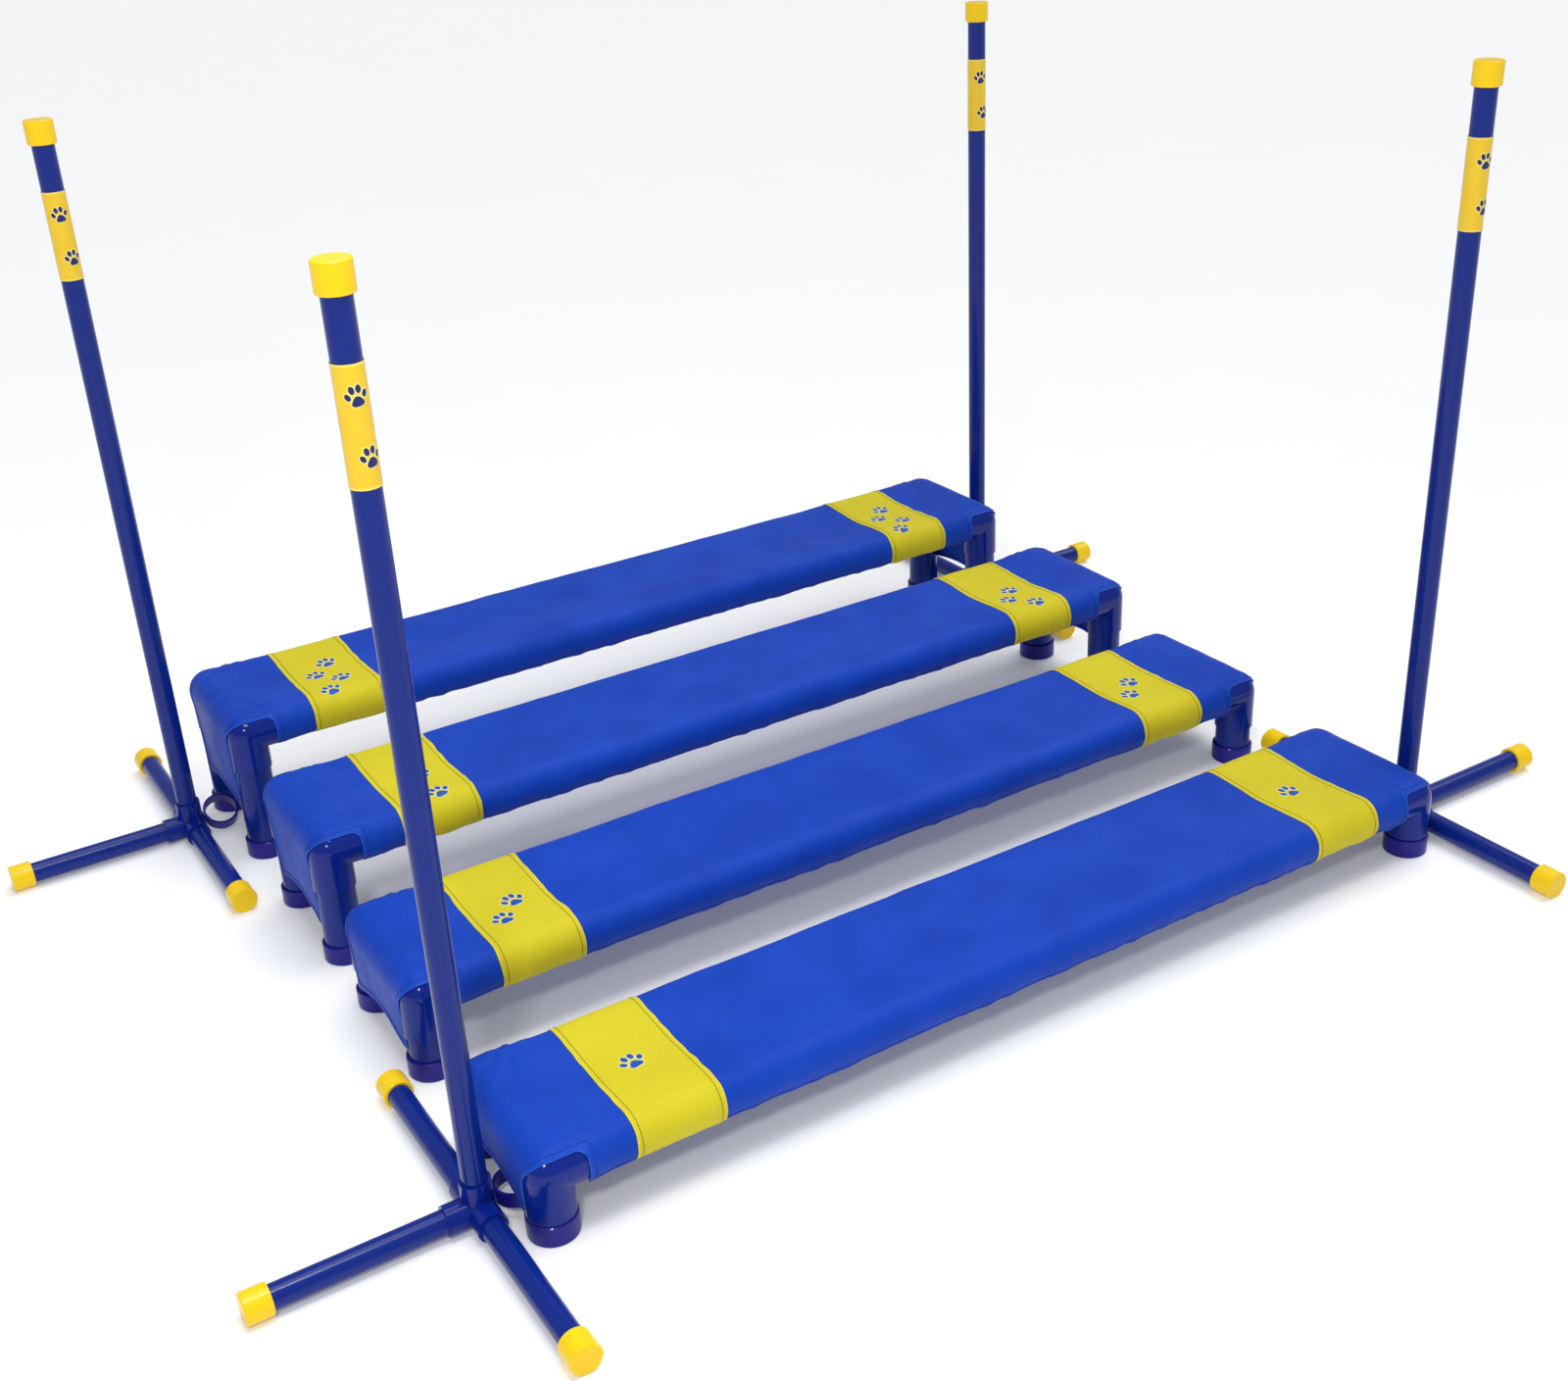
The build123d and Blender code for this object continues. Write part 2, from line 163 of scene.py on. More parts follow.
# ---------------------------------------------------------------- meshes
class Sheet:
    """A mesh on a flat pattern, whose points are welded by their pattern coordinates."""

    def __init__(self, place):
        self.place = place
        self.points, self.flat, self.faces, self.index = [], [], [], {}

    def point(self, x, y, lift=0.0):
        key = (round(x * 1e6), round(y * 1e6))
        if key not in self.index:
            self.index[key] = len(self.points)
            self.points.append(self.place(x, y, lift))
            self.flat.append((x, y))
        return self.index[key]

    def face(self, corners):
        kept = []
        for corner in corners:
            if corner not in kept:
                kept.append(corner)
        if len(kept) > 2:
            self.faces.append(kept)

    def grid(self, rows):
        """Quads between rows of (x, y) or (x, y, lift)."""
        made = [[self.point(*p) for p in row] for row in rows]
        for a, b in zip(made, made[1:]):
            for i in range(len(a) - 1):
                self.face((a[i], a[i + 1], b[i + 1], b[i]))

    def area(self):
        """Of the flat pattern."""
        total = 0.0
        for face in self.faces:
            ring = [self.flat[i] for i in face]
            total += abs(sum(a[0] * b[1] - b[0] * a[1] for a, b in zip(ring, ring[1:] + ring[:1]))) / 2
        return total

    def turned_out(self):
        """The faces, with every one wound the same way on the pattern."""
        out = []
        for face in self.faces:
            ring = [self.flat[i] for i in face]
            signed = sum(a[0] * b[1] - b[0] * a[1] for a, b in zip(ring, ring[1:] + ring[:1]))
            out.append(face if signed > 0 else face[::-1])
        return out


def new_object(name, points, faces, material, flat=None, body=None):
    """A smooth-shaded object; flat gives each point's pattern coordinates for the weave."""
    mesh = bpy.data.meshes.new(name)
    mesh.from_pydata([tuple(p) for p in points], [], faces)
    mesh.validate()
    mesh.polygons.foreach_set("use_smooth", [True] * len(mesh.polygons))
    if flat:
        layer = mesh.uv_layers.new(name="pattern")
        for loop in mesh.loops:
            layer.data[loop.index].uv = flat[loop.vertex_index]
    mesh.materials.append(material)
    piece = bpy.data.objects.new(name, mesh)
    bpy.context.scene.collection.objects.link(piece)
    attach(piece, body)
    return piece


def thicken(piece, thickness, offset=-1.0):
    """Gives a sheet its thickness, inward from its outer face."""
    solid = piece.modifiers.new("thickness", "SOLIDIFY")
    solid.thickness = thickness
    solid.offset = offset
    solid.use_even_offset = False
    return solid


class Solid:
    """Loose closed shapes gathered into one mesh."""

    def __init__(self):
        self.points, self.faces, self.flat, self.marks = [], [], [], []

    def loft(self, rings, flats=None, closed_ends=True, closed_path=False, marked=()):
        """Skins closed rings of equally many points. Marked strips take a second material."""
        base, count = len(self.points), len(rings[0])
        for i, ring in enumerate(rings):
            self.points += ring
            self.flat += flats[i] if flats else [(p[0], p[1]) for p in ring]
        spans = len(rings) if closed_path else len(rings) - 1
        for i in range(spans):
            a, b = base + i * count, base + (i + 1) % len(rings) * count
            for j in range(count):
                k = (j + 1) % count
                self.faces.append((a + j, a + k, b + k, b + j))
                self.marks.append(j in marked)
        if closed_ends and not closed_path:
            last = base + (len(rings) - 1) * count
            self.faces.append(tuple(range(base, base + count))[::-1])
            self.faces.append(tuple(range(last, last + count)))
            self.marks += [False, False]

    def made(self, name, material, body, slot, second=None):
        piece = new_object(name, self.points, self.faces, material, self.flat, body)
        if second:
            piece.data.materials.append(second)
            piece.data.polygons.foreach_set("material_index", [int(mark) for mark in self.marks])
        return piece


# ---------------------------------------------------------------- materials
class Nodes:
    """Short forms for building a node tree."""

    def __init__(self, name):
        self.material = bpy.data.materials.new(name)
        self.material.use_nodes = True
        self.tree = self.material.node_tree
        self.shader = self.tree.nodes["Principled BSDF"]

    def add(self, kind, inputs=None, **settings):
        node = self.tree.nodes.new(kind)
        for key, value in settings.items():
            setattr(node, key, value)
        for key, value in (inputs or {}).items():
            self.feed(node.inputs[key], value)
        return node

    def feed(self, socket, value):
        if isinstance(value, bpy.types.NodeSocket):
            self.tree.links.new(value, socket)
        else:
            socket.default_value = value

    def maths(self, operation, a, b=0.0):
        return self.add("ShaderNodeMath", {0: a, 1: b}, operation=operation).outputs[0]

    def noise(self, place, scale, detail=2.0, roughness=0.5):
        return self.add("ShaderNodeTexNoise", {"Vector": place, "Scale": scale, "Detail": detail,
                                               "Roughness": roughness}).outputs["Fac"]

    def span(self, value, low, high, to_low, to_high):
        return self.add("ShaderNodeMapRange", {"Value": value, "From Min": low, "From Max": high,
                                               "To Min": to_low, "To Max": to_high}).outputs["Result"]

    def mix(self, share, a, b):
        node = self.add("ShaderNodeMix", {"Factor": share}, data_type="RGBA")
        self.feed(node.inputs[6], a)
        self.feed(node.inputs[7], b)
        return node.outputs[2]

    def bump(self, height, distance, strength=1.0, normal=None):
        inputs = {"Height": height, "Distance": distance, "Strength": strength}
        if normal is not None:
            inputs["Normal"] = normal
        return self.add("ShaderNodeBump", inputs).outputs["Normal"]

    def finish(self, **inputs):
        for key, value in inputs.items():
            self.feed(self.shader.inputs[key.replace("_", " ")], value)
        return self.material


def rgb(red, green, blue, scale=1.0):
    """A linear colour from 8-bit screen values."""
    def linear(level):
        level /= 255
        return level / 12.92 if level <= 0.04045 else ((level + 0.055) / 1.055) ** 2.4
    return tuple(linear(c) * scale for c in (red, green, blue)) + (1.0,)


def moulded(name, colour, lighter, rough, grain=0.00004):
    """Glossy moulded plastic: slight flow marks, orange peel, fine handling scratches and rubbed edges."""
    n = Nodes(name)
    place = n.add("ShaderNodeTexCoord").outputs["Object"]
    cloudy = n.noise(place, 14.0, 3.0)
    peel = n.noise(place, 420.0, 2.0)
    stretched = n.add("ShaderNodeMapping", {"Vector": place, "Scale": (900.0, 900.0, 35.0)})
    scratch = n.noise(stretched.outputs["Vector"], 1.0, 3.0, 0.7)
    edge = n.add("ShaderNodeNewGeometry").outputs["Pointiness"]
    rubbed = n.span(edge, 0.53, 0.60, 0.0, 0.30)
    flow = n.span(cloudy, 0.3, 0.7, 0.0, 0.22)
    shade = n.mix(n.maths("MAXIMUM", flow, rubbed), colour, lighter)
    dull = n.span(scratch, 0.35, 0.80, rough * 0.92, rough * 1.20)
    height = n.maths("ADD", n.maths("MULTIPLY", peel, 0.9), n.maths("MULTIPLY", scratch, 0.06))
    return n.finish(Base_Color=shade, Roughness=dull, Normal=n.bump(height, grain), Coat_Weight=0.16,
                    Coat_Roughness=0.05, Specular_IOR_Level=0.17)


def woven(name, colour, shade_and_dye_colour, pitch=0.0007, rough=0.55, sheen=0.03):
    """Coated plain weave on the pattern's own coordinates, with cloudy dye, soft rubbing, and painted shade
    where the weave dips.
    """
    n = Nodes(name)
    pattern = n.add("ShaderNodeUVMap", uv_map="pattern").outputs["UV"]
    place = n.add("ShaderNodeTexCoord").outputs["Object"]
    across = n.add("ShaderNodeSeparateXYZ", {"Vector": pattern})
    turns = math.pi / pitch
    warp = n.maths("SINE", n.maths("MULTIPLY", across.outputs["X"], turns))
    weft = n.maths("SINE", n.maths("MULTIPLY", across.outputs["Y"], turns))
    over = n.maths("MULTIPLY", warp, weft)
    slub = n.noise(place, 260.0, 3.0, 0.6)
    cloud = n.noise(place, 9.0, 4.0, 0.55)
    height = n.maths("ADD", n.maths("MULTIPLY", over, 0.5), n.maths("MULTIPLY", slub, 0.8))
    # Painted shade: the colour darkens where the relief is low, in the weave's valleys and the dips between
    # slubs; the cloud and the specks are dye mottling.
    dark = n.maths("ADD", n.span(over, -1.0, 1.0, 0.16, 0.0), n.span(cloud, 0.3, 0.7, 0.0, 0.34))
    speck = n.span(n.noise(place, 620.0, 2.0, 0.7), 0.35, 0.65, 0.20, 0.0)
    tone = n.maths("ADD", n.maths("ADD", dark, speck), n.span(slub, 0.3, 0.7, 0.16, 0.0))
    gloss = n.span(cloud, 0.3, 0.7, rough - 0.05, rough + 0.07)
    return n.finish(Base_Color=n.mix(tone, colour, shade_and_dye_colour), Roughness=gloss,
                    Normal=n.bump(height, 0.00012, 0.8), Sheen_Weight=sheen, Sheen_Roughness=0.4,
                    Specular_IOR_Level=0.12)


def webbing(name, colour, light):
    """Ribbed polypropylene webbing."""
    n = Nodes(name)
    pattern = n.add("ShaderNodeUVMap", uv_map="pattern").outputs["UV"]
    across = n.add("ShaderNodeSeparateXYZ", {"Vector": pattern})
    rib = n.maths("SINE", n.maths("MULTIPLY", across.outputs["Y"], math.tau / 0.0021))
    row = n.maths("SINE", n.maths("MULTIPLY", across.outputs["X"], math.tau / 0.0016))
    fibre = n.noise(n.add("ShaderNodeTexCoord").outputs["Object"], 600.0, 3.0)
    height = n.maths("ADD", n.maths("MULTIPLY", rib, row), fibre)
    # The colour follows the relief: painted highlight on the raised ribs and painted shade in the grooves,
    # with random fibre tone.
    return n.finish(Base_Color=n.mix(n.span(height, -0.5, 1.5, 0.0, 1.0), colour, light), Roughness=0.7,
                    Normal=n.bump(height, 0.0002), Sheen_Weight=0.2)


def thread(name, colour, light):
    """Twisted polyester thread."""
    n = Nodes(name)
    fibre = n.noise(n.add("ShaderNodeTexCoord").outputs["Object"], 1500.0, 2.0)
    return n.finish(Base_Color=n.mix(n.span(fibre, 0.3, 0.7, 0.0, 1.0), colour, light), Roughness=0.6,
                    Normal=n.bump(fibre, 0.0001))


def printed(name, colour, worn, rough=0.45):
    """Screen ink over cloth or film, a little thin in places."""
    n = Nodes(name)
    place = n.add("ShaderNodeTexCoord").outputs["Object"]
    thin = n.noise(place, 380.0, 3.0, 0.65)
    return n.finish(Base_Color=n.mix(n.span(thin, 0.45, 0.8, 0.0, 0.5), colour, worn), Roughness=rough,
                    Normal=n.bump(thin, 0.00008), Specular_IOR_Level=0.4)


def film(name, colour, border, height):
    """Glossy printed film, with a pale border line along its top and bottom."""
    n = Nodes(name)
    pattern = n.add("ShaderNodeUVMap", uv_map="pattern").outputs["UV"]
    level = n.add("ShaderNodeSeparateXYZ", {"Vector": pattern}).outputs["Y"]
    from_middle = n.maths("ABSOLUTE", n.maths("SUBTRACT", level, height / 2))
    line = n.span(from_middle, height / 2 - 0.0026, height / 2 - 0.0022, 0.0, 0.8)
    place = n.add("ShaderNodeTexCoord").outputs["Object"]
    cloud = n.noise(place, 30.0, 3.0)
    ripple = n.noise(place, 160.0, 2.0)
    shade = n.mix(n.span(cloud, 0.3, 0.7, 0.0, 0.3), colour, tuple(c * 0.86 for c in colour[:3]) + (1.0,))
    return n.finish(Base_Color=n.mix(line, shade, border), Roughness=n.span(cloud, 0.3, 0.7, 0.28, 0.42),
                    Normal=n.bump(ripple, 0.00015), Coat_Weight=0.2, Coat_Roughness=0.15)


def floor_paint(name):
    n = Nodes(name)
    speck = n.noise(n.add("ShaderNodeTexCoord").outputs["Object"], 3.0, 3.0)
    return n.finish(Base_Color=n.mix(speck, (0.89, 0.90, 0.91, 1), (0.92, 0.92, 0.92, 1)), Roughness=0.8,
                    Specular_IOR_Level=0.2, Emission_Color=(1, 1, 1, 1), Emission_Strength=0.13)


NAVY = moulded("navy_pipe", rgb(8, 32, 118), rgb(14, 46, 142), 0.22)
NAVY_FITTING = moulded("navy_fitting", rgb(8, 32, 126), rgb(16, 48, 150), 0.13)
INDIGO = moulded("indigo_cap", rgb(28, 19, 126), rgb(40, 32, 148), 0.34, 0.00008)
YELLOW_CAP = moulded("yellow_cap", rgb(246, 203, 8), rgb(250, 214, 34), 0.28)
BLUE_CLOTH = woven("blue_nylon", rgb(15, 72, 194), rgb(9, 48, 150), rough=0.50)
HEM_CLOTH = woven("blue_hem", rgb(18, 76, 198), rgb(11, 52, 156), rough=0.50)
# A lighter copy of the hem cloth: painted highlight along the hems' folded edges.
HEM_HIGHLIGHT_CLOTH = woven("blue_fold_painted_highlight", rgb(52, 106, 220), rgb(30, 80, 190), rough=0.50)
YELLOW_CLOTH = woven("yellow_nylon", rgb(216, 203, 40), rgb(194, 180, 32), rough=0.56)
# A lighter copy of the stripe cloth: painted highlight along the stripes' turned edges.
RIM_HIGHLIGHT_CLOTH = woven("yellow_fold_painted_highlight", rgb(232, 218, 72), rgb(206, 190, 46), rough=0.56)
NAVY_THREAD = thread("navy_thread", rgb(6, 12, 66), rgb(14, 26, 100))
OLIVE_THREAD = thread("olive_thread", rgb(40, 38, 12), rgb(64, 60, 20))
PAW_BLUE = printed("paw_blue_ink", rgb(4, 72, 168), rgb(24, 98, 176))
PAW_CREAM = printed("paw_cream_ink", rgb(240, 234, 150), rgb(226, 214, 90))
PAW_NAVY = printed("paw_navy_ink", rgb(16, 26, 98), rgb(36, 50, 120), 0.3)
PAW_PALE = printed("paw_pale_ink", rgb(246, 228, 120), rgb(240, 214, 70), 0.3)
WEBBING = webbing("black_webbing", rgb(16, 16, 19), rgb(44, 44, 50))
BUCKLE = moulded("black_acetal", rgb(18, 18, 20), rgb(40, 40, 44), 0.38, 0.0001)


# ---------------------------------------------------------------- benches
class Bench:
    """One unit's measures, read from its nodes, and its cover's surface."""

    def __init__(self, number):
        self.number, self.body = number, f"unit_{number}"
        rail_low, rail_high = (Vector(c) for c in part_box(f"unit_{number}_long_rails"))
        leg_low, leg_high = (Vector(c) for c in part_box(f"unit_{number}_legs"))
        cover_low, cover_high = (Vector(c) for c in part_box(f"unit_{number}_cover"))
        pipe = (rail_high.z - rail_low.z) / 2
        self.pipe = pipe
        self.axis_z = (rail_low.z + rail_high.z) / 2
        self.half = leg_high.x - pipe
        self.front, self.rear = leg_low.y + pipe, leg_high.y - pipe
        self.middle = (self.front + self.rear) / 2
        self.flap_low = cover_low.z
        self.radius = cover_high.z - self.axis_z - COVER_INSET
        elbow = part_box(f"unit_{number}_corner_elbows")[1][2] - self.axis_z
        self.slack = self.radius - COVER_THICK - elbow - CLOTH_GAP
        self.quarter = self.radius * math.pi / 2
        self.run_low = self.quarter + WRAP_UNDER
        self.run_top = self.radius * math.acos(CUT_UP / self.radius)
        self.side = self.quarter + CUT_SIDE       # along, at a flap's upright edge
        self.seed = number * 7.3
        self.stripe_middles = [s * (self.half - STRIPE_CENTRE) for s in (-1, 1)]

    # -- relief of the cloth --
    def sag(self, x, y):
        t = (min(max(y, self.front), self.rear) - self.front) / (self.rear - self.front)
        return -SAG * math.sin(math.pi * t) ** 2 * smooth((self.half - abs(x)) / END_SUPPORT)

    def pucker(self, x, y):
        """Gathers beside the stripe seams."""
        total = 0.0
        for centre in self.stripe_middles:
            side = 1 if x > centre else -1
            away = abs(x - centre) - STRIPE_WIDTH / 2
            fade = PUCKER_FADES[0] if away > 0 else PUCKER_FADES[1]
            total += self.gather(centre, side, y) * math.exp(-abs(away) / fade)
        return PUCKER * total

    def gather(self, centre, side, y):
        """How a stripe's seam draws the cloth in along its length, from -1 to 1."""
        fine = noise.noise((y / PUCKER_PITCH, centre * 3 + side, self.seed))
        broad = noise.noise((y / (PUCKER_PITCH * 3.1), centre * 5 - side, self.seed + 2.0))
        return fine + 0.6 * broad

    def drag(self, x, y, run):
        """Creases that gather towards the long edges, where the straps pull the cloth down."""
        low = smooth((run - self.quarter * 0.55) / (self.quarter * 0.9))
        slant = x + DRAG_SLANT * run
        rear_seed = self.seed + (4 if y > self.middle else 0)
        fold = noise.noise((slant / DRAG_LENGTHS[0], run / DRAG_LENGTHS[1], rear_seed))
        sharp = noise.noise((slant / RIDGE_LENGTHS[0], run / RIDGE_LENGTHS[1], self.seed + 9))
        ridge = 1.0 - 2.0 * abs(sharp)
        calm = 1.0 - 0.75 * smooth((abs(x) - self.half + 0.07) / 0.03)
        return low * calm * (DRAG_HEIGHT * fold + RIDGE_HEIGHT * max(0.0, ridge - 0.45))

    def corner_pull(self, x, y, run):
        """Drag lines from the corner openings up over the top."""
        dx = self.half - CUT_IN - abs(x)
        dy = min(abs(y - self.front), abs(y - self.rear))
        reach = math.hypot(dx, dy + run * 0.5)
        turn = math.atan2(dx, dy + 0.01)
        line = math.sin(turn * PULL_LINES + self.seed)
        return PULL_HEIGHT * line * math.exp(-(reach / PULL_REACH) ** 2) * smooth(reach / 0.02)

    def storage_crease(self, x, y):
        """A faint fold line along the middle of the top."""
        wander = 0.004 * noise.noise((x * 4, self.seed, 2.0))
        away = (y - self.middle - CREASE_OFF_MIDDLE - wander) / CREASE_WIDTH
        return CREASE_HEIGHT * math.exp(-away * away) * (0.6 + noise.noise((x * 6, 5.0, self.seed)))

    def ends_ripple(self, x, y, run):
        """Loose ripple low on the end flaps."""
        low = smooth((run - self.quarter) / 0.06)
        wave = noise.noise((y / RIPPLE_LENGTHS[0], run / RIPPLE_LENGTHS[1], x + self.seed))
        return low * RIPPLE_HEIGHT * wave

    def relief(self, x, y, run, on_end):
        broad = BROAD_HEIGHT * noise.noise((x / BROAD_LENGTHS[0], y / BROAD_LENGTHS[1], self.seed))
        broad += SMALL_HEIGHT * noise.noise((x / SMALL_LENGTHS[0], y / SMALL_LENGTHS[1], 1.5))
        folds = broad + self.pucker(x, y) + self.corner_pull(x, y, run) + self.storage_crease(x, y)
        folds += self.ends_ripple(x, y, run) if on_end else self.drag(x, y, run)
        return max(folds, -self.slack) + self.sag(x, y) * smooth(1 - run / 0.01)

    def place(self, x, y, lift=0.0):
        """Where a point of the flat pattern lies, and lift above it."""
        cx = min(max(x, -self.half), self.half)
        cy = min(max(y, self.front), self.rear)
        dx, dy = x - cx, y - cy
        run = math.hypot(dx, dy)
        out = Vector((dx, dy, 0)) / run if run > 1e-9 else Vector((0, 0, 0))
        on_end = abs(dx) > abs(dy)
        step = 0.0 if on_end else RAIL_STEP * smooth((self.half - ELBOW_SOCKET - abs(x)) / 0.05 + 0.3)
        centre = Vector((cx, cy, self.axis_z))
        if on_end and run > self.quarter:
            drop = run - self.quarter
            normal = (out + UP * -FLAP_LEAN).normalized()
            point = centre + out * (self.radius - drop * FLAP_LEAN) - UP * drop
        else:
            angle = run / self.radius
            normal = out * math.sin(angle) + UP * math.cos(angle)
            point = centre + normal * (self.radius - step)
        return point + normal * (self.relief(x, y, run, on_end) + lift)

    # -- outline of the pattern --
    def unroll(self, along, run, sx, sy):
        """Pattern coordinates of a point on the edge strip round one corner."""
        edge = self.front if sy < 0 else self.rear
        if along <= 0:
            return sx * (self.half + along), edge + sy * run
        if along < self.quarter:
            turn = along / self.radius
            return sx * (self.half + run * math.sin(turn)), edge + sy * run * math.cos(turn)
        return sx * (self.half + run), edge - sy * (along - self.quarter)

    def hem_run(self, along):
        """Run to the arched lower hem of an end flap."""
        from_edge = along - self.quarter - CUT_SIDE - FLAP_TAB
        half_chord = (self.rear - self.front) / 2 - CUT_SIDE - FLAP_TAB
        rise = FLAP_HEM_RISES[self.number - 1]
        radius = (half_chord ** 2 + rise ** 2) / (2 * rise)
        off = half_chord - from_edge
        height = 0.0
        if abs(off) < half_chord:
            height = math.sqrt(radius ** 2 - off ** 2) - (radius - rise)
        return self.quarter + self.axis_z - self.flap_low - height

    def cut_run(self, along):
        """Run at which the cloth stops beside a corner opening's rounded ends, or None in the opening."""
        inner, outer = -CUT_IN, self.side
        if along <= inner:
            return self.run_top + CUT_ROUND
        if along <= inner + CUT_ROUND:
            t = CUT_ROUND - (along - inner)
            return self.run_top + CUT_ROUND - math.sqrt(max(0.0, CUT_ROUND ** 2 - t ** 2))
        if along >= outer:
            return self.run_top + SIDE_FALL
        if along >= outer - SIDE_ROUND:
            t = 1 - (outer - along) / SIDE_ROUND
            return self.run_top + SIDE_FALL * (1 - math.sqrt(max(0.0, 1 - t * t)))
        return None


def bend(start, end, count):
    """Values that crowd towards both ends, for a rounded corner."""
    return [start + (end - start) * (1 - math.cos(math.pi * i / count)) / 2 for i in range(count + 1)]


def cover_pattern(bench):
    """The cover's mesh: the top, and the strip round it in quarters."""
    sheet = Sheet(bench.place)
    stripe_zone = -(STRIPE_CENTRE + STRIPE_WIDTH / 2 + 0.04)
    long_side = joined(steps(-bench.half, stripe_zone, TOP_STEP), steps(stripe_zone, -CUT_IN, FINE_STEP),
                       bend(-CUT_IN, -CUT_IN + CUT_ROUND, 6), steps(-CUT_IN + CUT_ROUND, 0.0, FINE_STEP))
    corner = joined(steps(0.0, bench.side - SIDE_ROUND, FINE_STEP),
                    bend(bench.side - SIDE_ROUND, bench.side, SWEEP_STEPS))
    if bench.quarter not in corner:
        corner = sorted(corner + [bench.quarter])
    half_depth = (bench.rear - bench.front) / 2
    end_side = steps(bench.side, bench.quarter + half_depth, END_STEP)
    stations = joined(long_side, corner, end_side)
    xs = [bench.half + a for a in stations if a <= 0]
    xs = [-x for x in xs[::-1]] + xs[1:]
    xs = sorted(set([round(x, 9) for x in xs] + [round(-x, 9) for x in xs]))
    ys = [bench.front + a - bench.quarter for a in stations if a >= bench.quarter]
    ys = sorted(set([round(y, 9) for y in ys] + [round(bench.front + bench.rear - y, 9) for y in ys]))
    sheet.grid([[(x, y) for x in xs] for y in ys])
    upper = steps(0.0, bench.run_top, FINE_STEP)
    for sx in (-1, 1):
        for sy in (-1, 1):
            sheet.grid([[bench.unroll(a, r, sx, sy) for a in stations] for r in upper])
            inner_part = [a for a in stations if a <= -CUT_IN + CUT_ROUND + 1e-9]
            side_part = [a for a in stations if a >= bench.side - SIDE_ROUND - 1e-9]
            for part, share in ((inner_part, 0.25), (side_part, 0.08)):
                sheet.grid([[bench.unroll(a, bench.run_top + f * (bench.cut_run(a) - bench.run_top), sx, sy)
                             for a in part] for f in steps(0.0, 1.0, share)])
            part = [a for a in stations if a <= -CUT_IN + 1e-9]
            sheet.grid([[bench.unroll(a, r, sx, sy) for a in part]
                        for r in steps(bench.run_top + CUT_ROUND, bench.run_low, FINE_STEP)])
            part = [a for a in stations if a >= bench.side - 1e-9]
            start = bench.run_top + SIDE_FALL
            sheet.grid([[bench.unroll(a, start + f * (bench.hem_run(a) - start), sx, sy) for a in part]
                        for f in steps(0.0, 1.0, 0.08)])
    return sheet


def opening_edge(bench):
    """One corner opening's cut edge and stitch line, as pairs of (along, run)."""
    pairs = []
    inner, outer, top = -CUT_IN, bench.side, bench.run_top
    for run in steps(bench.run_low, top + CUT_ROUND, 0.004):
        pairs.append(((inner, run), (inner - HEM_WIDTH, run)))
    for i in range(1, 9):
        turn = math.pi / 2 * i / 8
        way = (-math.cos(turn), -math.sin(turn))
        square = (CUT_ROUND + HEM_WIDTH) / max(abs(way[0]), abs(way[1]))
        centre = (inner + CUT_ROUND, top + CUT_ROUND)
        pairs.append(((centre[0] + way[0] * CUT_ROUND, centre[1] + way[1] * CUT_ROUND),
                      (centre[0] + way[0] * square, centre[1] + way[1] * square)))
    for along in steps(inner + CUT_ROUND, outer - SIDE_ROUND, 0.004)[1:]:
        pairs.append(((along, top), (along, top - HEM_WIDTH)))
    for i in range(1, SWEEP_EDGE_STEPS + 1):
        turn = math.pi / 2 * i / SWEEP_EDGE_STEPS
        point = (outer - SIDE_ROUND + SIDE_ROUND * math.sin(turn),
                 top + SIDE_FALL - SIDE_FALL * math.cos(turn))
        way = (SIDE_FALL * math.sin(turn), -SIDE_ROUND * math.cos(turn))
        far = HEM_WIDTH / math.hypot(*way)
        pairs.append((point, (point[0] + way[0] * far, point[1] + way[1] * far)))
    for run in steps(top + SIDE_FALL, bench.hem_run(outer), 0.004)[1:]:
        pairs.append(((outer, run), (outer + HEM_WIDTH, run)))
    return pairs


def hem_lines(bench):
    """Every hem as pairs of pattern points: its edge and its stitch line."""
    lines = []
    for sx in (-1, 1):
        for sy in (-1, 1):
            lines.append([(bench.unroll(*edge, sx, sy), bench.unroll(*seam, sx, sy))
                          for edge, seam in opening_edge(bench)])
        end = []
        for along in steps(bench.side, bench.side + bench.rear - bench.front - 2 * CUT_SIDE, 0.005):
            run = bench.hem_run(along)
            end.append((bench.unroll(along, run, sx, -1), bench.unroll(along, run - HEM_WIDTH, sx, -1)))
        lines.append(end)
    for sy in (-1, 1):
        edge = bench.front if sy < 0 else bench.rear
        reach = bench.half - CUT_IN
        lines.append([((x, edge + sy * bench.run_low), (x, edge + sy * (bench.run_low - HEM_WIDTH)))
                      for x in steps(-reach, reach, 0.0065)])
    return lines


# Across a hem: share of its width, and height above and below the cover's face.
HEM_PROFILE = ((0.97, 0.00005), (0.90, 0.00030), (0.82, 0.00062), (0.45, 0.00068), (0.16, 0.00066),
               (0.06, 0.00068 + HEM_LIP / 2), (0.0, 0.00050 + HEM_LIP / 2), (-0.05, -0.0001),
               (-0.03, -0.0013), (0.20, -0.00125), (0.97, -0.00115))
HEM_FOLD = (5, 6)              # strips of that profile given a lighter cloth: painted highlight where the fold catches the light


def hems(bench):
    solid = Solid()
    for line in hem_lines(bench):
        rings, flats = [], []
        for (ex, ey), (tx, ty) in line:
            ring, flat = [], []
            for share, height in HEM_PROFILE:
                x, y = ex + (tx - ex) * share, ey + (ty - ey) * share
                ring.append(bench.place(x, y, height))
                flat.append((x, y))
            rings.append(ring)
            flats.append(flat)
        solid.loft(rings, flats, marked=HEM_FOLD)
    # The fold strips take the lighter cloth, a painted highlight along the hem's edge.
    return solid.made(f"unit_{bench.number}_hems", HEM_CLOTH, bench.body, "cover_blue", HEM_HIGHLIGHT_CLOTH)


